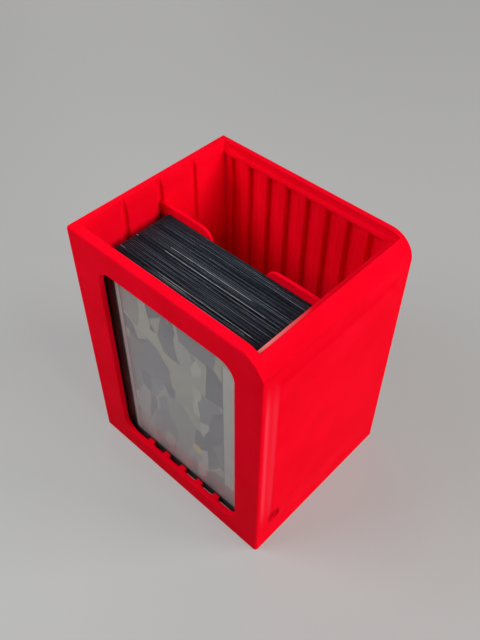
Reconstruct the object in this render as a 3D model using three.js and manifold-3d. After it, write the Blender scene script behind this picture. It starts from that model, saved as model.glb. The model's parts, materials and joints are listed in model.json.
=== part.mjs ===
// A printed, open-topped box for sleeved trading cards, with a display window, a ribbed rear wall,
// slots for a loose divider, a deck in the front bay and one displayed card behind the window.
// Millimetres, +Z up, window side facing -Y. The origin is the centre of the footprint, at the table.

import * as THREE from 'three';
import { mergeVertices } from 'three/addons/utils/BufferGeometryUtils.js';
import Module from 'manifold-3d';

// Sleeved cards, which the box is built round
const cardWidth = 63;
const cardHeight = 88;
const cardThickness = 0.35;
const cardCornerRadius = 3;
const sleeveBorder = 1.5;
const sleevedThickness = 0.62;
const filmThickness = 0.15;
const filmGap = 0.05;

// Deck: its cards, and the room that the box leaves round them
const deckCount = 47;
const deckPitch = 0.655;
const deckBreakAfter = 42;
const deckBreakGap = 0.3;
const deckFrontGap = 0.3;
const deckRearGap = 0.15;
const deckLeftGap = 3.3;
const deckRightGap = 3.2;
const deckSideSpread = 0.15;
const deckHeightSpread = 0.3;
const deckSideStepAngle = 2.4;
const deckHeightStepAngle = 1.7;
const sleeveMouthDepth = 1.6;
const sleeveMouthSideMargin = 1.4;
const displayWallGap = 0.25;
const displaySideGap = 0.2;

// Walls, measured from the outside to the inner face, and the room above and behind the cards
const frontWall = 3.6;
const frontSkin = 2.1;
const rearWall = 3.5;
const leftWall = 3.4;
const rightWall = 7.1;
const floorThickness = 3;
const headroom = 12;
const rearBayDepth = 29.9;
const topRoundRadius = 9.2;
const frontEdgeRadius = 1.2;
const frontRimRadius = 0.9;

// Rim: thinner than the walls, with a slope on the left and a ledge at the rear and on the right
const rimThickness = 2.1;
const rightRimThickness = 4.6;
const rebateDepth = 3.3;

// Ribs inside the rear wall, made by the grooves between them, a little behind the ledge above them
const ribSetback = 0.3;
const rearGrooveCount = 8;
const rearGroovePitch = 8.75;
const rearGrooveWidth = 4.8;
const rearGrooveDepth = 1.9;
const rearGrooveRadius = 0.7;
const grooveTopMargin = 0.9;

// Window and the ribs behind it
const windowOverlapLeft = 2.8;
const windowOverlapRight = 3.5;
const windowBottom = 8.6;
const windowTopMargin = 10.1;
const windowCornerRadius = 6.4;
const windowRecessMargin = 3;
const frontRibCount = 5;
const frontRibPitch = 8.9;
const frontRibWidth = 3;

// Places for the divider: a slot in the left wall and a pair of rails on the right one
const slotCount = 3;
const slotPitch = 15.9;
const railWidth = 1.2;
const railReach = 1.2;
const railTopMargin = 4;

// Raised panel on the right face
const panelRaise = 1;
const panelFront = 5.3;
const panelRearMargin = 7.1;
const panelBottom = 10.1;
const panelTopMargin = 3.4;
const panelSideBevel = 2.6;
const panelRearBevel = 1.6;
const panelTopBevel = 1.2;
const panelBottomBevel = 9;
const dimpleDepth = 1.3;
const dimpleWidth = 4.8;
const dimpleHeight = 8;
const dimpleFromFront = 8.9;
const dimpleFromBottom = 15.4;

// Divider
const dividerThickness = 1.2;
const dividerReach = 3;
const dividerEndGap = 0.3;
const dividerFrontPlay = 1.3;
const dividerRearGap = 0.1;
const dividerCornerRadius = 1.6;
const notchWidth = 24;
const notchDepth = 22;
const notchTopRadius = 5;
const notchBottomRadius = 6;

// How far cutters run past the faces that they cut, and how close points are welded
const overrun = 2;
const weldDistance = 1e-5;

// Facets: steps in a quarter circle
const fineSteps = 10;
const mediumSteps = 6;
const smallSteps = 4;

// The outer box, without its raised side panel, worked out from what it holds
const sleeveWidth = cardWidth + 2 * sleeveBorder;
const sleeveHeight = cardHeight + 2 * sleeveBorder;
const pocketDepth = cardThickness + 2 * filmGap;
const displayDepth = displayWallGap + 2 * filmThickness + pocketDepth;
const deckLength = (deckCount - 1) * deckPitch + sleevedThickness + deckBreakGap;
const frontBayDepth = displayDepth + deckFrontGap + deckLength + deckRearGap;
const boxWidth = leftWall + deckLeftGap + sleeveWidth + deckRightGap + rightWall;
const boxDepth = frontWall + frontBayDepth + dividerThickness + rearBayDepth + rearWall;
const boxHeight = floorThickness + sleeveHeight + headroom;

// Places
const leftFace = -(boxWidth + panelRaise) / 2;
const frontFace = -boxDepth / 2;
const rightFace = leftFace + boxWidth;
const rearFace = frontFace + boxDepth;
const ledgeZ = boxHeight - rebateDepth;
const grooveTopZ = ledgeZ - grooveTopMargin;
const innerLeft = leftFace + leftWall;
const innerRight = rightFace - rightWall;
const innerFront = frontFace + frontWall;
const innerRear = rearFace - rearWall;
const innerCentre = (innerLeft + innerRight) / 2;
const sleeveTop = floorThickness + sleeveHeight;
const slotLeft = leftFace + rimThickness;
const slotWidth = dividerFrontPlay + dividerThickness + dividerRearGap;
const dividerY = innerFront + frontBayDepth + dividerThickness / 2;
const middleSlotY = dividerY + dividerThickness / 2 + dividerRearGap - slotWidth / 2;
const dividerTop = sleeveTop + dividerReach;

// The displayed card's own sleeve stands against the right wall
const displaySleeve = {
  left: innerRight - displaySideGap - sleeveWidth,
  right: innerRight - displaySideGap,
  front: innerFront + displayWallGap,
};
const windowLeft = displaySleeve.left + windowOverlapLeft;
const windowRight = displaySleeve.right - windowOverlapRight;
const windowCentre = (windowLeft + windowRight) / 2;
const windowTop = boxHeight - windowTopMargin;

const wasm = await Module();
wasm.setup();

// Booleans

function toSolid(geometry) {
  const bare = geometry.clone();
  bare.deleteAttribute('normal');
  bare.deleteAttribute('uv');
  const merged = mergeVertices(bare, weldDistance);
  const vertProperties = new Float32Array(merged.attributes.position.array);
  const triVerts = new Uint32Array(merged.index.array);
  return new wasm.Manifold(new wasm.Mesh({ numProp: 3, vertProperties, triVerts }));
}

function toGeometry(solid) {
  const mesh = solid.getMesh();
  const geometry = new THREE.BufferGeometry();
  geometry.setAttribute('position', new THREE.BufferAttribute(new Float32Array(mesh.vertProperties), 3));
  geometry.setIndex(new THREE.BufferAttribute(new Uint32Array(mesh.triVerts), 1));
  const faceted = geometry.toNonIndexed();
  faceted.computeVertexNormals();
  return faceted;
}

function cutAll(solid, cutters) {
  return cutters.reduce((rest, cutter) => rest.subtract(cutter), solid);
}

// Basic solids, each given by its lowest and highest corners or by an outline

function boxSolid(low, high) {
  const size = high.map((value, axis) => value - low[axis]);
  const geometry = new THREE.BoxGeometry(...size);
  geometry.translate(...low.map((value, axis) => value + size[axis] / 2));
  return toSolid(geometry);
}

// An outline in X and Z, extruded along Y from one depth to the other
function frontOutlineGeometry(shape, fromY, toY, steps) {
  const geometry = new THREE.ExtrudeGeometry(shape, {
    depth: toY - fromY,
    bevelEnabled: false,
    curveSegments: steps,
  });
  geometry.rotateX(Math.PI / 2);
  geometry.translate(0, toY, 0);
  return geometry;
}

// An outline in X and Y, extruded upwards from one height to the other
function planOutlineSolid(shape, fromZ, toZ, steps) {
  const geometry = new THREE.ExtrudeGeometry(shape, {
    depth: toZ - fromZ,
    bevelEnabled: false,
    curveSegments: steps,
  });
  geometry.translate(0, 0, fromZ);
  return toSolid(geometry);
}

// A rectangle whose four corners have their own radii: lower left, lower right, upper right, upper left
function roundedRectangle(x0, y0, x1, y1, radii) {
  const [lowerLeft, lowerRight, upperRight, upperLeft] = radii;
  const shape = new THREE.Shape();
  shape.moveTo(x0 + lowerLeft, y0);
  shape.lineTo(x1 - lowerRight, y0);
  if (lowerRight > 0) {
    shape.absarc(x1 - lowerRight, y0 + lowerRight, lowerRight, -Math.PI / 2, 0, false);
  }
  shape.lineTo(x1, y1 - upperRight);
  if (upperRight > 0) {
    shape.absarc(x1 - upperRight, y1 - upperRight, upperRight, 0, Math.PI / 2, false);
  }
  shape.lineTo(x0 + upperLeft, y1);
  if (upperLeft > 0) {
    shape.absarc(x0 + upperLeft, y1 - upperLeft, upperLeft, Math.PI / 2, Math.PI, false);
  }
  shape.lineTo(x0, y0 + lowerLeft);
  if (lowerLeft > 0) {
    shape.absarc(x0 + lowerLeft, y0 + lowerLeft, lowerLeft, Math.PI, 1.5 * Math.PI, false);
  }
  return shape;
}

// The shell

// Rectangles in Y and Z at rising X, joined into one closed body
function stackedRectangles(rings) {
  const corners = [];
  for (const { x, front, rear, bottom, top } of rings) {
    corners.push([x, front, bottom], [x, rear, bottom], [x, rear, top], [x, front, top]);
  }
  const index = [0, 3, 2, 0, 2, 1];
  for (let ring = 0; ring < rings.length - 1; ring += 1) {
    for (let side = 0; side < 4; side += 1) {
      const a = 4 * ring + side;
      const b = 4 * ring + ((side + 1) % 4);
      index.push(a, b, b + 4, a, b + 4, a + 4);
    }
  }
  const last = 4 * (rings.length - 1);
  index.push(last, last + 1, last + 2, last, last + 2, last + 3);
  const geometry = new THREE.BufferGeometry();
  geometry.setAttribute('position', new THREE.Float32BufferAttribute(corners.flat(), 3));
  geometry.setIndex(index);
  return toSolid(geometry);
}

function outerBody() {
  const front = roundedRectangle(leftFace, 0, rightFace, boxHeight, [0, 0, topRoundRadius, 0]);
  const plan = roundedRectangle(leftFace, frontFace, rightFace, rearFace, [0, frontEdgeRadius, 0, 0]);
  const seenFromFront = toSolid(frontOutlineGeometry(front, frontFace, rearFace, fineSteps));
  const seenFromAbove = planOutlineSolid(plan, -overrun, boxHeight + overrun, smallSteps);
  return seenFromFront.intersect(seenFromAbove).subtract(frontRimRounding());
}

// What the front rim's rounded outer edge takes away, along the whole width
function frontRimRounding() {
  const centreY = frontFace + frontRimRadius;
  const centreZ = boxHeight - frontRimRadius;
  const shape = new THREE.Shape();
  shape.moveTo(frontFace - overrun, centreZ);
  shape.lineTo(frontFace, centreZ);
  shape.absarc(centreY, centreZ, frontRimRadius, Math.PI, Math.PI / 2, true);
  shape.lineTo(centreY, boxHeight + overrun);
  shape.lineTo(frontFace - overrun, boxHeight + overrun);
  const along = frontOutlineGeometry(shape, -rightFace - overrun, overrun - leftFace, smallSteps);
  return toSolid(along.rotateZ(Math.PI / 2));
}

// Raised field of the right face: a shallow bevel at the bottom and steeper ones on the other sides
function sidePanel() {
  const foot = {
    front: frontFace + panelFront,
    rear: rearFace - panelRearMargin,
    bottom: panelBottom,
    top: boxHeight - topRoundRadius - panelTopMargin,
  };
  const field = {
    front: foot.front + panelSideBevel,
    rear: foot.rear - panelRearBevel,
    bottom: foot.bottom + panelBottomBevel,
    top: foot.top - panelTopBevel,
  };
  const buried = rightFace - rightRimThickness / 2;
  return stackedRectangles([
    { x: buried, ...foot },
    { x: rightFace, ...foot },
    { x: rightFace + panelRaise, ...field },
  ]);
}

// Oval dent in the panel's lower front corner
function dimple() {
  const geometry = new THREE.SphereGeometry(1, 4 * smallSteps, 2 * smallSteps);
  geometry.scale(dimpleDepth, dimpleWidth / 2, dimpleHeight / 2);
  geometry.translate(rightFace + panelRaise / 2, frontFace + dimpleFromFront, dimpleFromBottom);
  return toSolid(geometry);
}

function cavity() {
  const low = [innerLeft, innerFront, floorThickness];
  const well = boxSolid(low, [innerRight, innerRear, boxHeight + overrun]);
  const rimRight = rightFace - rightRimThickness;
  const mouth = new THREE.Shape();
  mouth.moveTo(innerLeft, ledgeZ);
  mouth.lineTo(rimRight, ledgeZ);
  mouth.lineTo(rimRight, boxHeight + overrun);
  mouth.lineTo(slotLeft, boxHeight + overrun);
  mouth.lineTo(slotLeft, boxHeight);
  return well.add(toSolid(frontOutlineGeometry(mouth, innerFront, rearFace - rimThickness, smallSteps)));
}

// One groove of the rear wall in plan: rounded mouth edges and a rounded floor
function grooveOutline(centreX, mouthY, width, depth, radius) {
  const left = centreX - width / 2;
  const right = centreX + width / 2;
  const shape = new THREE.Shape();
  shape.moveTo(left - radius, mouthY - overrun);
  shape.lineTo(right + radius, mouthY - overrun);
  shape.lineTo(right + radius, mouthY);
  shape.absarc(right + radius, mouthY + radius, radius, -Math.PI / 2, -Math.PI, true);
  shape.lineTo(right, mouthY + depth - radius);
  shape.absarc(right - radius, mouthY + depth - radius, radius, 0, Math.PI / 2, false);
  shape.lineTo(left + radius, mouthY + depth);
  shape.absarc(left + radius, mouthY + depth - radius, radius, Math.PI / 2, Math.PI, false);
  shape.lineTo(left, mouthY + radius);
  shape.absarc(left - radius, mouthY + radius, radius, 0, -Math.PI / 2, true);
  return shape;
}

function rearGrooves() {
  const ribFaceY = innerRear + ribSetback;
  const low = [innerLeft, innerRear - overrun, floorThickness];
  const cutters = [boxSolid(low, [innerRight, ribFaceY, grooveTopZ])];
  for (let i = 0; i < rearGrooveCount; i += 1) {
    const centreX = innerCentre + (i - (rearGrooveCount - 1) / 2) * rearGroovePitch;
    const outline = grooveOutline(centreX, ribFaceY, rearGrooveWidth, rearGrooveDepth, rearGrooveRadius);
    cutters.push(planOutlineSolid(outline, floorThickness, grooveTopZ, smallSteps));
  }
  return cutters;
}

function windowCut() {
  const radii = [windowCornerRadius, windowCornerRadius, windowCornerRadius, windowCornerRadius];
  const shape = roundedRectangle(windowLeft, windowBottom, windowRight, windowTop, radii);
  return toSolid(frontOutlineGeometry(shape, frontFace - overrun, innerFront + overrun, mediumSteps));
}

// The front wall is thinner behind the window, but for upright ribs that keep the card off its skin
function frontRecesses() {
  const edges = [windowLeft - windowRecessMargin];
  for (let i = 0; i < frontRibCount; i += 1) {
    const ribCentre = windowCentre + (i - (frontRibCount - 1) / 2) * frontRibPitch;
    edges.push(ribCentre - frontRibWidth / 2, ribCentre + frontRibWidth / 2);
  }
  edges.push(windowRight + windowRecessMargin);
  const cutters = [];
  for (let i = 0; i < edges.length; i += 2) {
    const low = [edges[i], frontFace + frontSkin, floorThickness];
    cutters.push(boxSolid(low, [edges[i + 1], innerFront + overrun, grooveTopZ]));
  }
  return cutters;
}

// The front face of a place for the divider, counted from the front
function slotFront(i) {
  return middleSlotY + (i - (slotCount - 1) / 2) * slotPitch - slotWidth / 2;
}

// The slots run out at the top of the slope inside the left rim
function dividerSlots() {
  const cutters = [];
  for (let i = 0; i < slotCount; i += 1) {
    const low = [slotLeft, slotFront(i), floorThickness];
    cutters.push(boxSolid(low, [innerLeft + overrun, slotFront(i) + slotWidth, boxHeight + overrun]));
  }
  return cutters;
}

// A rail in front of and behind each place, below the ledge of the right wall
function dividerRails() {
  const rails = [];
  const buriedX = innerRight + rightRimThickness / 2;
  for (let i = 0; i < slotCount; i += 1) {
    for (const railFront of [slotFront(i) - railWidth, slotFront(i) + slotWidth]) {
      const low = [innerRight - railReach, railFront, floorThickness / 2];
      rails.push(boxSolid(low, [buriedX, railFront + railWidth, ledgeZ - railTopMargin]));
    }
  }
  return rails;
}

function boxShell() {
  const body = outerBody().add(sidePanel());
  const innerCutters = [cavity(), ...rearGrooves(), ...frontRecesses(), ...dividerSlots()];
  const hollow = cutAll(body, [...innerCutters, windowCut(), dimple()]);
  return toGeometry(dividerRails().reduce((whole, rail) => whole.add(rail), hollow));
}

// The divider

// A quarter circle round (x, z), from one count of quarter turns to the next or to the one before
function addQuarter(shape, x, z, radius, fromQuarter, turn) {
  const start = (fromQuarter * Math.PI) / 2;
  shape.absarc(x, z, radius, start, start + (turn * Math.PI) / 2, turn < 0);
}

function dividerPlate() {
  const left = slotLeft + dividerEndGap;
  const right = innerRight - dividerEndGap;
  const notchLeft = innerCentre - notchWidth / 2;
  const notchRight = innerCentre + notchWidth / 2;
  const notchArcZ = dividerTop - notchDepth + notchBottomRadius;
  const cornerArcZ = dividerTop - dividerCornerRadius;
  const tabArcZ = dividerTop - notchTopRadius;
  const shape = new THREE.Shape();
  shape.moveTo(left, floorThickness);
  shape.lineTo(right, floorThickness);
  addQuarter(shape, right - dividerCornerRadius, cornerArcZ, dividerCornerRadius, 0, 1);
  addQuarter(shape, notchRight + notchTopRadius, tabArcZ, notchTopRadius, 1, 1);
  addQuarter(shape, notchRight - notchBottomRadius, notchArcZ, notchBottomRadius, 0, -1);
  addQuarter(shape, notchLeft + notchBottomRadius, notchArcZ, notchBottomRadius, 3, -1);
  addQuarter(shape, notchLeft - notchTopRadius, tabArcZ, notchTopRadius, 0, 1);
  addQuarter(shape, left + dividerCornerRadius, cornerArcZ, dividerCornerRadius, 1, 1);
  const halfThickness = dividerThickness / 2;
  return frontOutlineGeometry(shape, dividerY - halfThickness, dividerY + halfThickness, mediumSteps);
}

// The displayed card in its own sleeve

// Clear front film, with the welded border that closes the sleeve on three sides
function displayFrontFilm() {
  const { left, right, front } = displaySleeve;
  const rear = front + filmThickness + pocketDepth;
  const slab = boxSolid([left, front, floorThickness], [right, rear, sleeveTop]);
  const room = boxSolid(
    [left + sleeveBorder - filmGap, front + filmThickness, floorThickness + sleeveBorder - filmGap],
    [right - sleeveBorder + filmGap, rear + overrun, sleeveTop + overrun],
  );
  return toGeometry(slab.subtract(room));
}

function displayBackFilm() {
  const { left, right, front } = displaySleeve;
  const y0 = front + filmThickness + pocketDepth;
  const geometry = new THREE.BoxGeometry(right - left, filmThickness, sleeveHeight);
  geometry.translate((left + right) / 2, y0 + filmThickness / 2, floorThickness + sleeveHeight / 2);
  return geometry;
}

function displayCard() {
  const { left, front } = displaySleeve;
  const radii = [cardCornerRadius, cardCornerRadius, cardCornerRadius, cardCornerRadius];
  const x0 = left + sleeveBorder;
  const z0 = floorThickness + sleeveBorder;
  const y0 = front + filmThickness + filmGap;
  const shape = roundedRectangle(x0, z0, x0 + cardWidth, z0 + cardHeight, radii);
  return frontOutlineGeometry(shape, y0, y0 + cardThickness, smallSteps);
}

// The deck: each card and its sleeve is one body, with the sleeve's open mouth at the top

function sleevedCard(index) {
  const breakGap = index >= deckBreakAfter ? deckBreakGap : 0;
  const y0 = innerFront + displayDepth + deckFrontGap + index * deckPitch + breakGap;
  const x0 = innerLeft + deckLeftGap + deckSideSpread * Math.sin(index * deckSideStepAngle);
  const top = sleeveTop - deckHeightSpread * Math.sin(index * deckHeightStepAngle) ** 2;
  const slab = boxSolid([x0, y0, floorThickness], [x0 + sleeveWidth, y0 + sleevedThickness, top]);
  const mouth = boxSolid(
    [x0 + sleeveMouthSideMargin, y0 + filmThickness, top - sleeveMouthDepth],
    [x0 + sleeveWidth - sleeveMouthSideMargin, y0 + sleevedThickness - filmThickness, top + overrun],
  );
  return toGeometry(slab.subtract(mouth));
}

// Materials

function redPlastic() {
  return new THREE.MeshStandardMaterial({ color: 0xee0a20, roughness: 0.5, metalness: 0 });
}

function blackFilm() {
  return new THREE.MeshStandardMaterial({ color: 0x1c2127, roughness: 0.4, metalness: 0 });
}

function clearFilm() {
  return new THREE.MeshStandardMaterial({
    color: 0xf2f2f2,
    roughness: 0.15,
    metalness: 0,
    transparent: true,
    opacity: 0.3,
  });
}

function printedCard() {
  return new THREE.MeshStandardMaterial({ color: 0x98958f, roughness: 0.5, metalness: 0 });
}

// Assembly

const part = new THREE.Group();

function addPiece(name, geometry, material) {
  const mesh = new THREE.Mesh(geometry, material);
  mesh.name = name;
  part.add(mesh);
}

addPiece('box_shell', boxShell(), redPlastic());
addPiece('divider_plate', dividerPlate(), redPlastic());
addPiece('display_sleeve_front', displayFrontFilm(), clearFilm());
addPiece('display_card', displayCard(), printedCard());
addPiece('display_sleeve_back', displayBackFilm(), blackFilm());
for (let i = 0; i < deckCount; i += 1) {
  addPiece(`sleeved_card_${String(i + 1).padStart(2, '0')}`, sleevedCard(i), blackFilm());
}

export default part;
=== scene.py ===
"""Looks of a printed card box: satin red plastic, black sleeves, a clear film over a displayed card."""

import json
import math

import bmesh
import bpy
from mathutils import Matrix, Vector


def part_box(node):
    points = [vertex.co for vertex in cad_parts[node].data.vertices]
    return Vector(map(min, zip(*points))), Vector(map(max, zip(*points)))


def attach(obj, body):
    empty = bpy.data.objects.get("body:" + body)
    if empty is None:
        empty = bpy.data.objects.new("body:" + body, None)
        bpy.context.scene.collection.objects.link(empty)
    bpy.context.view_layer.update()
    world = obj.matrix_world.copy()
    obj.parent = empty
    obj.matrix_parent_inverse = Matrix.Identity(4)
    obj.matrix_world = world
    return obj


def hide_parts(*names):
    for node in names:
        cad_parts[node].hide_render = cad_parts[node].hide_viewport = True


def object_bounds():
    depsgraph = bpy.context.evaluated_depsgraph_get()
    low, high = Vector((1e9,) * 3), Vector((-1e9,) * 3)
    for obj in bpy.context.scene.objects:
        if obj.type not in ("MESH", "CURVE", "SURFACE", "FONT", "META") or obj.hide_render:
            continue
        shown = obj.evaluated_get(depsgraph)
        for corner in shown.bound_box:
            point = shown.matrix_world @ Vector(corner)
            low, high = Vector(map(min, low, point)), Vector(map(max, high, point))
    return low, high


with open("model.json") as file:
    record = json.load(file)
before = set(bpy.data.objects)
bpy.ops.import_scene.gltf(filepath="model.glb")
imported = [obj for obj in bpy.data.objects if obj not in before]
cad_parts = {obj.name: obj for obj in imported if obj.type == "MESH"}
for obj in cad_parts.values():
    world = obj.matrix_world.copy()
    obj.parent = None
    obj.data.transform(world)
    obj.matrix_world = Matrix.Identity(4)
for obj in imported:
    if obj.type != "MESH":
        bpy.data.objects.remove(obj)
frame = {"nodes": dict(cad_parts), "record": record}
cad_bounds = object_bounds()

MM = 0.001
NODES = frame["nodes"]
DECK = sorted(name for name in NODES if name.startswith("sleeved_card_"))
DECK_BODY = {node: body for body, nodes in frame["record"]["behaviour"]["bodies"].items() for node in nodes}

# Camera: a fit to the photograph's corners
IMAGE_HEIGHT_PX = 640
FOCAL_PX = 725.7
SENSOR_MM = 36
CAMERA_AZIMUTH = math.radians(42.814)
CAMERA_ELEVATION = math.radians(47.073)
CAMERA_ROLL = math.radians(0.471)
CAMERA_DISTANCE = 272.2 * MM
CAMERA_TARGET = Vector((-8.42, 8.85, 53.0)) * MM
CAMERA_CLIP = (0.01, 20)
HALF_PIXEL = 0.5 / IMAGE_HEIGHT_PX


def add_object(name, data):
    item = bpy.data.objects.new(name, data)
    bpy.context.scene.collection.objects.link(item)
    return item


def direction(azimuth, elevation):
    """Away from the box. Azimuth 0 is in front of the window, and a quarter turn is on its right."""
    return Vector((
        math.sin(azimuth) * math.cos(elevation),
        -math.cos(azimuth) * math.cos(elevation),
        math.sin(elevation),
    ))


def add_camera():
    back = direction(CAMERA_AZIMUTH, CAMERA_ELEVATION)
    level = Vector((math.cos(CAMERA_AZIMUTH), math.sin(CAMERA_AZIMUTH), 0))
    upright = back.cross(level)
    right = math.cos(CAMERA_ROLL) * level + math.sin(CAMERA_ROLL) * upright
    up = -math.sin(CAMERA_ROLL) * level + math.cos(CAMERA_ROLL) * upright
    data = bpy.data.cameras.new("camera")
    data.sensor_width = SENSOR_MM
    data.lens = FOCAL_PX * SENSOR_MM / IMAGE_HEIGHT_PX
    data.shift_x = -HALF_PIXEL
    data.shift_y = HALF_PIXEL
    data.clip_start, data.clip_end = CAMERA_CLIP
    camera = add_object("camera", data)
    turn = Matrix((right, up, back)).transposed().to_4x4()
    camera.matrix_world = Matrix.Translation(CAMERA_TARGET + back * CAMERA_DISTANCE) @ turn
    bpy.context.scene.camera = camera


# Node-tree helpers

# Sockets of a mix node, which go by number: the factor, and the two values mixed
NUMBERS_MIXED = (0, 2, 3)
COLOURS_MIXED = (0, 6, 7)


def new_material(name):
    material = bpy.data.materials.new(name)
    material.use_nodes = True
    tree = material.node_tree
    return material, tree, tree.nodes["Principled BSDF"]


def link(tree, source, target):
    tree.links.new(source, target)


def set_or_link(tree, value, socket):
    if isinstance(value, tuple):
        socket.default_value = (*value, 1)
    elif isinstance(value, (int, float)):
        socket.default_value = value
    else:
        link(tree, value, socket)


def math_node(tree, operation, *values):
    node = tree.nodes.new("ShaderNodeMath")
    node.operation = operation
    for socket, value in zip(node.inputs, values):
        set_or_link(tree, value, socket)
    return node.outputs[0]


def noise(tree, vector, scale, detail, roughness=0.5, output="Fac"):
    node = tree.nodes.new("ShaderNodeTexNoise")
    node.inputs["Scale"].default_value = scale
    node.inputs["Detail"].default_value = detail
    node.inputs["Roughness"].default_value = roughness
    link(tree, vector, node.inputs["Vector"])
    return node.outputs[output]


def map_range(tree, value, reach, to_reach=(0.0, 1.0), smooth=False):
    node = tree.nodes.new("ShaderNodeMapRange")
    if smooth:
        node.interpolation_type = "SMOOTHSTEP"
    link(tree, value, node.inputs["Value"])
    node.inputs["From Min"].default_value, node.inputs["From Max"].default_value = reach
    node.inputs["To Min"].default_value, node.inputs["To Max"].default_value = to_reach
    return node.outputs["Result"]


def split_vector(tree, vector):
    node = tree.nodes.new("ShaderNodeSeparateXYZ")
    link(tree, vector, node.inputs[0])
    return node.outputs[0], node.outputs[1], node.outputs[2]


def distance_from(tree, places, centre, halves=(1, 1)):
    """How far a point lies from a centre, counted in halves of an ellipse along each direction."""
    squares = []
    for place, middle, half in zip(places, centre, halves):
        share = math_node(tree, "DIVIDE", math_node(tree, "SUBTRACT", place, middle), half)
        squares.append(math_node(tree, "MULTIPLY", share, share))
    return math_node(tree, "SQRT", math_node(tree, "ADD", *squares))


def mix(tree, factor, a, b, sockets=COLOURS_MIXED):
    node = tree.nodes.new("ShaderNodeMix")
    node.data_type = "RGBA" if sockets == COLOURS_MIXED else "FLOAT"
    for socket, value in zip(sockets, (factor, a, b)):
        set_or_link(tree, value, node.inputs[socket])
    return node.outputs[2 if sockets == COLOURS_MIXED else 0]


def object_point(tree):
    return tree.nodes.new("ShaderNodeTexCoord").outputs["Object"]


def stretched_point(tree, scales):
    node = tree.nodes.new("ShaderNodeMapping")
    node.vector_type = "POINT"
    node.inputs["Scale"].default_value = scales
    link(tree, object_point(tree), node.inputs["Vector"])
    return node.outputs["Vector"]


def bump(tree, height, strength, distance):
    node = tree.nodes.new("ShaderNodeBump")
    node.inputs["Strength"].default_value = strength
    node.inputs["Distance"].default_value = distance
    link(tree, height, node.inputs["Height"])
    return node.outputs["Normal"]


def band(tree, value, reach, softness):
    """1 between two places, with soft ends."""
    low, high = reach
    rise = map_range(tree, value, (low - softness, low + softness), smooth=True)
    fall = map_range(tree, value, (high - softness, high + softness), (1.0, 0.0), smooth=True)
    return math_node(tree, "MULTIPLY", rise, fall)


def zone(tree, coordinates, ranges, softness):
    """1 inside a box of the piece's own space, with soft sides."""
    bands = [band(tree, value, reach, soft) for value, reach, soft in zip(coordinates, ranges, softness)]
    return math_node(tree, "MULTIPLY", math_node(tree, "MULTIPLY", bands[0], bands[1]), bands[2])


def sine_of(tree, length, wavelength):
    return math_node(tree, "SINE", math_node(tree, "MULTIPLY", length, 2 * math.pi / wavelength))


# Red print: two close reds in patches, a fine grain, and lines of layers or of nozzle strokes

# The middle part of a noise's values, which a map range spreads out
MIDDLING = (0.35, 0.65)
CENTRAL = (0.3, 0.7)

RED_LIT = (0.95, 0.0016, 0.018)
RED_DEEP = (0.88, 0.001, 0.013)
PATCH_SCALE = 60
GRAIN_SCALE = 1400
LAYER_HEIGHT = 0.28 * MM
STROKE_WIDTH = 0.42 * MM
TOP_FACING = 0.95
GRAIN_HEIGHT = 0.6
LINE_HEIGHT = 0.5
PRINT_BUMP = 0.25
PRINT_BUMP_DEPTH = 0.03 * MM
PRINT_GLOSS = 0.004
PRINT_ROUGHNESS = 0.42
GRAIN_ROUGHNESS = 0.12

# Painted glint: a pale pinkish strip along the right ledge, which fades towards the rear
LEDGE_GLINT_PINK = (0.98, 0.30, 0.29)
LEDGE_GLINT_Y = (-31.5 * MM, -7 * MM)
LEDGE_GLINT_ZONE = ((33.75 * MM, 35.15 * MM), LEDGE_GLINT_Y, (101.6 * MM, 103.2 * MM))
LEDGE_GLINT_SOFTNESS = (0.2 * MM, 0.3 * MM, 0.3 * MM)

# Painted sheen: upright pinkish highlight strips at the front of the right face: strength, from where to
# where, softness
SHEEN_PINK = (0.96, 0.034, 0.066)
SHEEN_X = (40.2 * MM, 44 * MM)
SHEEN_Z = (22 * MM, 88 * MM)
SHEEN_STRIPS = (
    (1.0, (-33.5 * MM, -32.0 * MM), 0.55 * MM),
    (0.5, (-29.9 * MM, -28.7 * MM), 0.45 * MM),
    (0.3, (-32.6 * MM, -29.2 * MM), 0.9 * MM),
)
SHEEN_ENDS = 9 * MM

# Painted shade in the dimple of the right face: a darker red where the pit lies in shade
DIMPLE_SHADE_RED = (0.45, 0.001, 0.007)
DIMPLE_CENTRE = (-26.7 * MM, 16.3 * MM)
DIMPLE_HALVES = (3.4 * MM, 5.6 * MM)
DIMPLE_FADE = (0.35, 1.1)
DIMPLE_X = (39.2 * MM, 40.2 * MM)


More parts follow.
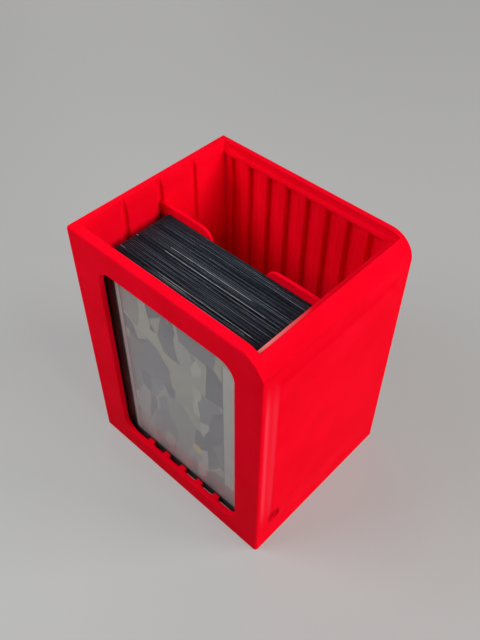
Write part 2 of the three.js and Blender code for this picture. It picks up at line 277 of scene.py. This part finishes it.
def red_print():
    """Satin red print with layer lines on walls and nozzle strokes on tops, painted highlights as two kinds
    of paler strip, and painted shade in the dimple.
    """
    material, tree, shader = new_material("red_print")
    point = object_point(tree)
    x, y, z = split_vector(tree, point)
    patches = noise(tree, point, PATCH_SCALE, 3)
    grain = noise(tree, point, GRAIN_SCALE, 2)
    colour = mix(tree, map_range(tree, patches, MIDDLING), RED_DEEP, RED_LIT)
    # Painted highlights: the pinkish sheen strips of the right face
    for strength, reach, softness in SHEEN_STRIPS:
        sheen = zone(tree, (x, y, z), (SHEEN_X, reach, SHEEN_Z), (softness, softness, SHEEN_ENDS))
        colour = mix(tree, math_node(tree, "MULTIPLY", sheen, strength), colour, SHEEN_PINK)
    # Painted shade in the dimple of the right face
    off_dimple = distance_from(tree, (y, z), DIMPLE_CENTRE, DIMPLE_HALVES)
    dimple = map_range(tree, off_dimple, DIMPLE_FADE, (1.0, 0.0), smooth=True)
    dimple = math_node(tree, "MULTIPLY", dimple, map_range(tree, x, DIMPLE_X))
    colour = mix(tree, dimple, colour, DIMPLE_SHADE_RED)
    # Painted glint along the right ledge, fading towards the rear
    ledge_glint = zone(tree, (x, y, z), LEDGE_GLINT_ZONE, LEDGE_GLINT_SOFTNESS)
    ledge_glint = math_node(tree, "MULTIPLY", ledge_glint, map_range(tree, y, LEDGE_GLINT_Y, (1.0, 0.0)))
    colour = mix(tree, ledge_glint, colour, LEDGE_GLINT_PINK)
    link(tree, colour, shader.inputs["Base Color"])
    shader.inputs["Specular IOR Level"].default_value = PRINT_GLOSS
    roughness = math_node(tree, "MULTIPLY_ADD", grain, GRAIN_ROUGHNESS, PRINT_ROUGHNESS)
    link(tree, roughness, shader.inputs["Roughness"])
    layers = sine_of(tree, z, LAYER_HEIGHT)
    strokes = sine_of(tree, math_node(tree, "ADD", x, y), STROKE_WIDTH)
    facing = tree.nodes.new("ShaderNodeNewGeometry").outputs["True Normal"]
    on_top = math_node(tree, "GREATER_THAN", split_vector(tree, facing)[2], TOP_FACING)
    lines = mix(tree, on_top, layers, strokes, NUMBERS_MIXED)
    lines = math_node(tree, "MULTIPLY", lines, LINE_HEIGHT)
    height = math_node(tree, "MULTIPLY_ADD", grain, GRAIN_HEIGHT, lines)
    link(tree, bump(tree, height, PRINT_BUMP, PRINT_BUMP_DEPTH), shader.inputs["Normal"])
    return material


# Sleeves of the deck: film, lips and the card's edge down in the mouth

FILM_DARK = (0.008, 0.011, 0.018)
FILM_DUSTY = (0.028, 0.034, 0.046)
FILM_DUST_SCALE = 900
FILM_DUST_REACH = (0.35, 0.75)
FILM_ROUGHNESS = (0.30, 0.42)
FILM_GLOSS = 0.3


def black_film():
    """Frosted black film: nearly black on the sleeves' sides, with faint dust."""
    material, tree, shader = new_material("black_film")
    dust = noise(tree, object_point(tree), FILM_DUST_SCALE, 3)
    colour = mix(tree, map_range(tree, dust, FILM_DUST_REACH), FILM_DARK, FILM_DUSTY)
    link(tree, colour, shader.inputs["Base Color"])
    link(tree, map_range(tree, dust, CENTRAL, FILM_ROUGHNESS), shader.inputs["Roughness"])
    shader.inputs["Specular IOR Level"].default_value = FILM_GLOSS
    return material


LIP_DARK = (0.030, 0.038, 0.052)
LIP_HIGHLIGHT = (0.36, 0.42, 0.50)
STREAK_SCALES = (18, 1500, 0)
STREAK_ROUGHNESS = 0.6
STREAK_REACH = (0.38, 0.72)
LIP_DUST_SCALE = 1800
LIP_DUST_SPREAD = (0.6, 1.4)
# The lips grow darker towards the deck's left end, down to this share of their brightness
LEFT_DIMMING_END = (-32 * MM, -12 * MM)
LEFT_DIMMING_SHARE = 0.25
LIP_ROUGHNESS = 0.45


def film_lip():
    """The sleeves' top edges: long streaks of painted highlight, varied by dust, make some of them paler
    than others.
    """
    material, tree, shader = new_material("film_lip")
    streaks = noise(tree, stretched_point(tree, STREAK_SCALES), 1, 2, STREAK_ROUGHNESS)
    dust = noise(tree, object_point(tree), LIP_DUST_SCALE, 2)
    # Painted highlight on the lips: streaks where some lips catch the light
    shine = map_range(tree, streaks, STREAK_REACH)
    light = math_node(tree, "MULTIPLY", shine, map_range(tree, dust, CENTRAL, LIP_DUST_SPREAD))
    along = split_vector(tree, object_point(tree))[0]
    light = math_node(tree, "MULTIPLY", light, map_range(tree, along, LEFT_DIMMING_END, (LEFT_DIMMING_SHARE, 1.0)))
    link(tree, mix(tree, light, LIP_DARK, LIP_HIGHLIGHT), shader.inputs["Base Color"])
    shader.inputs["Roughness"].default_value = LIP_ROUGHNESS
    return material


GLINT_LOW = (0.35, 0.39, 0.43)
GLINT_HIGH = (0.80, 0.84, 0.87)
GLINT_STREAK_SCALES = (260, 30, 30)
PALE_ROUGHNESS = 0.35


def glint_lip():
    """A sleeve's lip with a painted glint: pale streaks where its edge catches the light."""
    material, tree, shader = new_material("glint_lip")
    glint_streaks = noise(tree, stretched_point(tree, GLINT_STREAK_SCALES), 1, 3)
    colour = mix(tree, map_range(tree, glint_streaks, CENTRAL), GLINT_LOW, GLINT_HIGH)
    link(tree, colour, shader.inputs["Base Color"])
    shader.inputs["Roughness"].default_value = PALE_ROUGHNESS
    return material


CARD_CORE = (0.40, 0.40, 0.40)
CORE_SCALES = (22, 1700, 0)
CORE_REACH = (0.50, 0.68)
FIBRE_SCALE = 2200
CORE_ROUGHNESS = 0.8


def card_edge():
    """The cut edge of a card down in a sleeve's mouth: dark board, and paler where the core shows."""
    material, tree, shader = new_material("card_edge")
    spans = noise(tree, stretched_point(tree, CORE_SCALES), 1, 2)
    fibres = noise(tree, object_point(tree), FIBRE_SCALE, 2)
    core = math_node(tree, "MULTIPLY", map_range(tree, spans, CORE_REACH), fibres)
    link(tree, mix(tree, core, FILM_DARK, CARD_CORE), shader.inputs["Base Color"])
    shader.inputs["Roughness"].default_value = CORE_ROUGHNESS
    return material


# Displayed card: its printed borders and marks, measured from its edges

# The black borders at the left and at the foot are print, made as deep as the shade of the window's left
# jamb and of the sill that falls across them: partly painted shade
CARD_BORDER = 3.9 * MM
FOOT_BORDER = 4.2 * MM
FOOT_REFLECTION_TOP = 4.9 * MM
FRAME_LINE = 1.7 * MM
TITLE_STRIP = 4.7 * MM
TITLE_INSET = 5.8 * MM
TITLE_SPAN_SHARES = (0.175, 0.937)
FINE_LINE = 0.45 * MM
DISC_PLACE_SHARES = (0.62, 0.27)
DISC_RADIUS = 2.4 * MM

# Clear film: a thin veil of haze, cut to a small share over the card's dark borders as painted shade, where
# the film lies in the shade of the jamb and the sill
HAZE_SCALE = 45
HAZE_SPREAD = (0.8, 1.2)
VEIL_FOOT_TO_TOP = (0.24, 0.09)
SHADED_BORDER_VEIL_SHARE = 0.12
SLEEVE_REACH = 5 * MM
VEIL_SOFTNESS = 0.25 * MM
VEIL_GREY = (0.72, 0.72, 0.73)
CLEAR_ROUGHNESS = 0.16


def clear_film():
    """Clear film with a light haze over the card's picture, thicker towards its foot."""
    material, tree, shader = new_material("clear_film")
    point = object_point(tree)
    haze = noise(tree, point, HAZE_SCALE, 3)
    low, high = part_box("display_sleeve_front")
    card_low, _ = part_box("display_card")
    x, _, z = split_vector(tree, point)
    veil = map_range(tree, z, (low[2], high[2]), VEIL_FOOT_TO_TOP)
    veil = math_node(tree, "MULTIPLY", veil, map_range(tree, haze, CENTRAL, HAZE_SPREAD))
    # Painted shade: less haze over the card's dark borders, where shade falls on the film
    inside_left = band(tree, x, (card_low[0] + CARD_BORDER, high[0] + SLEEVE_REACH), VEIL_SOFTNESS)
    above_foot = band(tree, z, (card_low[2] + FOOT_BORDER, high[2] + SLEEVE_REACH), VEIL_SOFTNESS)
    picture = math_node(tree, "MULTIPLY", inside_left, above_foot)
    picture = map_range(tree, picture, (0.0, 1.0), (SHADED_BORDER_VEIL_SHARE, 1.0))
    link(tree, math_node(tree, "MULTIPLY", veil, picture), shader.inputs["Alpha"])
    shader.inputs["Base Color"].default_value = (*VEIL_GREY, 1)
    shader.inputs["Roughness"].default_value = CLEAR_ROUGHNESS
    return material


BORDER_BLACK = (0.004, 0.004, 0.005)
FRAME_PALE = (0.52, 0.48, 0.46)
# Painted reflection of the red sill on the card's black foot border: a dark red line above it
FOOT_SILL_REFLECTION = (0.050, 0.006, 0.018)
TITLE_PALE = (0.46, 0.44, 0.39)
LINE_GREY = (0.13, 0.11, 0.11)
DISC_YELLOW = (0.58, 0.43, 0.05)
INK_TONES = ((0.070, 0.062, 0.076), (0.165, 0.145, 0.160), (0.250, 0.225, 0.200), (0.370, 0.335, 0.260))
SHARD_TONES = ((0.09, 0.082, 0.10), (0.34, 0.31, 0.27), (0.19, 0.18, 0.19), (0.50, 0.46, 0.40))

# Paper shapes of the picture: cells for each metre, stretch across and up, and turn
LARGE_SHAPES = (62, (1.0, 0, 0.55), 0.5)
SMALL_SHAPES = (150, (1.0, 0, 0.28), -0.7)
BEND_SCALES = (60, 0, 60)
BEND = (6 * MM, 0, 6 * MM)
SMALL_PLACES = (45, 0, 45)
SMALL_REACH = (0.52, 0.54)
SMALL_STRENGTH = 0.9
MOTTLE_SCALE = 260
MOTTLE_STRENGTH = 0.2
CARD_ROUGHNESS = 0.35
COAT_WEIGHT = 0.6
COAT_ROUGHNESS = 0.12


def bent_point(tree, scales, turn):
    """A point of the card's face, turned, stretched and bent a little by noise."""
    turned = tree.nodes.new("ShaderNodeMapping")
    turned.inputs["Rotation"].default_value = (0, turn, 0)
    turned.inputs["Scale"].default_value = scales
    link(tree, object_point(tree), turned.inputs["Vector"])
    bent = tree.nodes.new("ShaderNodeVectorMath")
    bent.operation = "MULTIPLY_ADD"
    link(tree, noise(tree, stretched_point(tree, BEND_SCALES), 1, 1, output="Color"), bent.inputs[0])
    bent.inputs[1].default_value = BEND
    link(tree, turned.outputs["Vector"], bent.inputs[2])
    return bent.outputs[0]


def paper_shapes(tree, shapes, tones):
    """Overlapping paper shapes: one flat tone for each cell."""
    cells_per_metre, scales, turn = shapes
    cells = tree.nodes.new("ShaderNodeTexVoronoi")
    cells.inputs["Scale"].default_value = cells_per_metre
    cells.inputs["Randomness"].default_value = 1.0
    link(tree, bent_point(tree, scales, turn), cells.inputs["Vector"])
    pick = split_vector(tree, cells.outputs["Color"])[0]
    steps = tree.nodes.new("ShaderNodeValToRGB")
    steps.color_ramp.interpolation = "CONSTANT"
    while len(steps.color_ramp.elements) < len(tones):
        steps.color_ramp.elements.new(0.5)
    for index, tone in enumerate(tones):
        element = steps.color_ramp.elements[index]
        element.position = index / len(tones)
        element.color = (*tone, 1)
    link(tree, pick, steps.inputs["Fac"])
    return steps.outputs["Color"]


def card_print():
    """A generic printed card on its side: faceted greys, a disc, a frame line and a bare title strip."""
    material, tree, shader = new_material("card_print")
    low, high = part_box("display_card")
    x, _, z = split_vector(tree, object_point(tree))
    from_left = math_node(tree, "SUBTRACT", x, low[0])
    from_right = math_node(tree, "SUBTRACT", high[0], x)
    from_foot = math_node(tree, "SUBTRACT", z, low[2])
    large = paper_shapes(tree, LARGE_SHAPES, INK_TONES)
    small = paper_shapes(tree, SMALL_SHAPES, SHARD_TONES)
    places = noise(tree, stretched_point(tree, SMALL_PLACES), 1, 1)
    picture = mix(tree, map_range(tree, places, SMALL_REACH, (0.0, SMALL_STRENGTH)), large, small)
    mottle = noise(tree, object_point(tree), MOTTLE_SCALE, 4)
    picture = mix(tree, map_range(tree, mottle, MIDDLING, (0.0, MOTTLE_STRENGTH)), picture, INK_TONES[2])
    disc = [low[axis] + share * (high[axis] - low[axis]) for axis, share in zip((0, 2), DISC_PLACE_SHARES)]
    off_disc = distance_from(tree, (x, z), disc)
    title_span = [low[2] + share * (high[2] - low[2]) for share in TITLE_SPAN_SHARES]
    beside_title = band(tree, z, title_span, FINE_LINE / 2)
    strip_end = TITLE_INSET + TITLE_STRIP

    def within(distance, limit):
        return math_node(tree, "LESS_THAN", distance, limit)

    def title_strip(limit):
        return math_node(tree, "MULTIPLY", within(from_right, limit), beside_title)

    layers = (
        (within(off_disc, DISC_RADIUS), DISC_YELLOW),
        (title_strip(strip_end + FINE_LINE), LINE_GREY),
        (title_strip(strip_end), TITLE_PALE),
        (within(from_right, TITLE_INSET), LINE_GREY),
        (within(from_right, TITLE_INSET - FINE_LINE), FRAME_PALE),
        (within(from_left, CARD_BORDER + FRAME_LINE + FINE_LINE), INK_TONES[1]),
        (within(from_left, CARD_BORDER + FRAME_LINE), FRAME_PALE),
        # Black borders: print, deepened to carry painted shade
        (within(from_left, CARD_BORDER), BORDER_BLACK),
        # Painted reflection of the red sill along the top of the foot border
        (within(from_foot, FOOT_REFLECTION_TOP), FOOT_SILL_REFLECTION),
        (within(from_foot, FOOT_BORDER), BORDER_BLACK),
    )
    for mask, tone in layers:
        picture = mix(tree, mask, picture, tone)
    link(tree, picture, shader.inputs["Base Color"])
    shader.inputs["Roughness"].default_value = CARD_ROUGHNESS
    shader.inputs["Coat Weight"].default_value = COAT_WEIGHT
    shader.inputs["Coat Roughness"].default_value = COAT_ROUGHNESS
    return material


# Printed pieces, with soft edges

MERGE_DISTANCE = 0.002 * MM
FLAT_ANGLE = math.radians(0.5)
SHARP_ANGLE = math.radians(35)
HARD_EDGE_ANGLE = math.radians(40)
EDGE_RADIUS = 0.35 * MM
SLOT_RADIUS = 0.55 * MM
SLOT_WIDTH = 2.2 * MM
UPRIGHT_WITHIN = 0.2 * MM
NEIGHBOUR_SHARE = 0.4
LEAST_RADIUS = 0.18 * MM
EDGE_SEGMENTS = 3


def depth_from(edge, face):
    """How far a face reaches from one of its edges."""
    start, finish = (vert.co for vert in edge.verts)
    along = (finish - start).normalized()
    return max(((vert.co - start) - along * (vert.co - start).dot(along)).length for vert in face.verts)


def edge_radius(edge):
    """Softest at the mouths of the divider's slots. Small neighbours keep a radius small or leave none."""
    if edge.calc_face_angle(0) < HARD_EDGE_ANGLE:
        return 0
    near, far = (vert.co for vert in edge.verts)
    slot_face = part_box("divider_plate")[0][0]
    upright = abs(near.x - far.x) < UPRIGHT_WITHIN and abs(near.y - far.y) < UPRIGHT_WITHIN
    beside_slot = slot_face < near.x < slot_face + SLOT_WIDTH
    neighbours = [other for vert in edge.verts for other in vert.link_edges]
    shortest = min(other.calc_length() for other in neighbours)
    thinnest = min(depth_from(other, face) for other in neighbours for face in other.link_faces)
    room = NEIGHBOUR_SHARE * min(shortest, thinnest)
    if room < LEAST_RADIUS:
        return 0
    return min(SLOT_RADIUS if upright and beside_slot else EDGE_RADIUS, room)


def shade_smooth(mesh):
    for polygon in mesh.polygons:
        polygon.use_smooth = True
    mesh.set_sharp_from_angle(angle=SHARP_ANGLE)


def softened_copy(name, node, body, material):
    """A copy of a CAD solid with its hard edges rounded off, which stands for that solid."""
    mesh = NODES[node].data.copy()
    form = bmesh.new()
    form.from_mesh(mesh)
    bmesh.ops.remove_doubles(form, verts=form.verts, dist=MERGE_DISTANCE)
    bmesh.ops.dissolve_limit(form, angle_limit=FLAT_ANGLE, verts=form.verts, edges=form.edges)
    weight = form.edges.layers.float.new("bevel_weight_edge")
    for edge in form.edges:
        edge[weight] = edge_radius(edge) / SLOT_RADIUS
    form.to_mesh(mesh)
    form.free()
    mesh.materials.clear()
    mesh.materials.append(material)
    piece = add_object(name, mesh)
    round_edges = piece.modifiers.new("round_edges", "BEVEL")
    round_edges.width = SLOT_RADIUS
    round_edges.segments = EDGE_SEGMENTS
    round_edges.limit_method = "WEIGHT"
    round_edges.use_clamp_overlap = False
    round_edges.face_strength_mode = "FSTR_ALL"
    shade_smooth(mesh)
    even = piece.modifiers.new("even_normals", "WEIGHTED_NORMAL")
    even.keep_sharp = True
    even.use_face_influence = True
    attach(piece, body)
    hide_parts(node)


# Sleeves: the film's thickness, half thicknesses at the seams and the pocket, and the open mouth

FILM = 0.11 * MM
SEAM_HALF = 0.13 * MM
POCKET_HALF = 0.27 * MM
SEAM_WIDTH = 1.6 * MM
MOUTH_DEPTH = 1.6 * MM
CORNER_DIP = 0.3 * MM
STATIONS = 30

# Wave of the lips: its height and reach, and its turns along the front and the back lip
LIP_WAVE = 0.03 * MM
LIP_LENGTH = 9 * MM
FRONT_TURNS = 1.7
BACK_TURNS = 2.3
BACK_PHASE = 2.1
PHASE_STEP = 2.4

# Faces of a sleeve's loop, and the looks that they take from the list film, card edge, lip, lip with
# painted glint
FRONT_LIP_FACE = 2
CARD_EDGE_FACE = 4
CARD_EDGE_LOOK = 1
LIP_LOOK = 2
PALE_LIP_LOOK = 3

# Lips with a painted glint where they catch the light: the sleeve's number, and from where to where along
# it as shares
PALE_LIPS = (
    (13, 0.20, 0.84), (14, 0.25, 0.88), (27, 0.18, 0.86), (31, 0.20, 0.72), (24, 0.45, 0.75),
    (15, 0.0, 0.03), (26, 0.0, 0.03),
)


def smooth_step(value, high):
    share = min(max(value / high, 0.0), 1.0)
    return share * share * (3 - 2 * share)


def sleeve_loop(x, low, high, phase):
    """One sleeve cut across at x: a closed loop that goes down into the open mouth and out again."""
    middle = (low[1] + high[1]) / 2
    opening = smooth_step(min(x - low[0], high[0] - x), SEAM_WIDTH)
    half = SEAM_HALF + (POCKET_HALF - SEAM_HALF) * opening
    room = half - FILM
    top = high[2] - CORNER_DIP * (1 - opening) ** 2
    mouth = top - MOUTH_DEPTH * opening - FILM
    lip = high[2] - LIP_LENGTH
    turn = 2 * math.pi * (x - low[0]) / (high[0] - low[0])
    front = middle - half + LIP_WAVE * math.sin(FRONT_TURNS * turn + phase) * opening
    back = middle + half + LIP_WAVE * math.sin(BACK_TURNS * turn + BACK_PHASE * phase) * opening
    points = (
        (middle - half, low[2]), (middle - half, lip), (front, top), (front + FILM, top),
        (middle - room, mouth), (middle + room, mouth),
        (back - FILM, top), (back, top), (middle + half, lip), (middle + half, low[2]),
    )
    return [(x, y, z) for y, z in points]


def lip_look(node, share):
    number = DECK.index(node) + 1
    pale = any(number == chosen and start <= share <= end for chosen, start, end in PALE_LIPS)
    return PALE_LIP_LOOK if pale else LIP_LOOK


def sleeve(node, looks):
    """A film pocket with two thin wavy lips, pressed seams at its sides and the card deep inside."""
    low, high = (Vector(corner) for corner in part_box(node))
    phase = PHASE_STEP * DECK.index(node)
    form = bmesh.new()
    shares = [0.5 - 0.5 * math.cos(math.pi * step / STATIONS) for step in range(STATIONS + 1)]
    loops = []
    for share in shares:
        x = low[0] + (high[0] - low[0]) * share
        loops.append([form.verts.new(point) for point in sleeve_loop(x, low, high, phase)])
    for near, far, share in zip(loops, loops[1:], shares):
        for index in range(len(near)):
            after = (index + 1) % len(near)
            face = form.faces.new((near[index], near[after], far[after], far[index]))
            if index == CARD_EDGE_FACE:
                face.material_index = CARD_EDGE_LOOK
            elif index == FRONT_LIP_FACE:
                face.material_index = lip_look(node, share)
    form.faces.new(loops[0])
    form.faces.new(reversed(loops[-1]))
    bmesh.ops.recalc_face_normals(form, faces=form.faces)
    mesh = bpy.data.meshes.new(node + "_film")
    form.to_mesh(mesh)
    form.free()
    for look in looks:
        mesh.materials.append(look)
    shade_smooth(mesh)
    piece = add_object(node + "_film", mesh)
    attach(piece, DECK_BODY[node])
    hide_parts(node)


def use_material(node, material):
    data = NODES[node].data
    data.materials.clear()
    data.materials.append(material)


# Stage and light

FLOOR_COLOUR = (0.48, 0.48, 0.475)
FLOOR_SIZE = 6
FLOOR_ROUGHNESS = 0.6
FLOOR_GLOSS = 0.2
FLOOR_GLOW_SHARE = 0.5
VIEW_STRENGTH = 0.85
SKY_COLOUR = (0.90, 0.92, 0.95)
SKY_STRENGTH = 0.03

# Lamps: azimuth and elevation in degrees, distance and size in metres, power in watts, and colour
LAMP_AIM = Vector((0, 0, 60 * MM))
LAMPS = {
    "key": (90, 20, 1.2, 0.5, 7.4, (1.0, 0.96, 0.90)),
    "fill": (-35, 48, 0.36, 0.2, 0.93, (0.93, 0.97, 1.0)),
    "back": (125, 40, 1.2, 0.5, 7.0, (1.0, 0.98, 0.95)),
    "side": (-125, 8, 1.2, 0.5, 3.5, (1.0, 0.98, 0.96)),
}


def blend_by_view(tree, factor, unseen, seen, output):
    blend = tree.nodes.new("ShaderNodeMixShader")
    link(tree, factor, blend.inputs[0])
    link(tree, unseen.outputs[0], blend.inputs[1])
    link(tree, seen.outputs[0], blend.inputs[2])
    link(tree, blend.outputs[0], tree.nodes[output].inputs["Surface"])


def seen_by_camera(tree):
    return tree.nodes.new("ShaderNodeLightPath").outputs["Is Camera Ray"]


def add_floor():
    material, tree, shader = new_material("floor")
    shader.inputs["Base Color"].default_value = (*FLOOR_COLOUR, 1)
    shader.inputs["Roughness"].default_value = FLOOR_ROUGHNESS
    shader.inputs["Specular IOR Level"].default_value = FLOOR_GLOSS
    glow = tree.nodes.new("ShaderNodeEmission")
    glow.inputs["Color"].default_value = (*FLOOR_COLOUR, 1)
    share = math_node(tree, "MULTIPLY", seen_by_camera(tree), FLOOR_GLOW_SHARE)
    blend_by_view(tree, share, shader, glow, "Material Output")
    bpy.ops.mesh.primitive_plane_add(size=FLOOR_SIZE, location=(0, 0, cad_bounds[0].z))
    floor = bpy.context.object
    floor.name = "floor"
    floor.data.materials.append(material)


def add_lamp(name, azimuth, elevation, distance, size, power, colour):
    """A square soft lamp that looks at the box."""
    data = bpy.data.lights.new(name, "AREA")
    data.shape = "SQUARE"
    data.size = size
    data.energy = power
    data.color = colour
    lamp = add_object(name, data)
    away = direction(math.radians(azimuth), math.radians(elevation))
    lamp.location = LAMP_AIM + away * distance
    lamp.rotation_mode = "QUATERNION"
    lamp.rotation_quaternion = away.to_track_quat("Z", "Y")


def add_world():
    """A faint sky for the light, and the floor's own grey where the camera looks past the floor."""
    world = bpy.data.worlds.new("world")
    bpy.context.scene.world = world
    world.use_nodes = True
    tree = world.node_tree
    sky = tree.nodes["Background"]
    sky.inputs["Color"].default_value = (*SKY_COLOUR, 1)
    sky.inputs["Strength"].default_value = SKY_STRENGTH
    view = tree.nodes.new("ShaderNodeBackground")
    view.inputs["Color"].default_value = (*FLOOR_COLOUR, 1)
    view.inputs["Strength"].default_value = VIEW_STRENGTH
    blend_by_view(tree, seen_by_camera(tree), sky, view, "World Output")


add_camera()
red = red_print()
film = black_film()
softened_copy("shell_print", "box_shell", "box", red)
softened_copy("divider_print", "divider_plate", "divider", red)
sleeve_looks = (film, card_edge(), film_lip(), glint_lip())
for node in DECK:
    sleeve(node, sleeve_looks)
use_material("display_sleeve_back", film)
use_material("display_sleeve_front", clear_film())
use_material("display_card", card_print())
add_floor()
for lamp_name, settings in LAMPS.items():
    add_lamp(lamp_name, *settings)
add_world()
bpy.context.scene.view_settings.view_transform = "Standard"
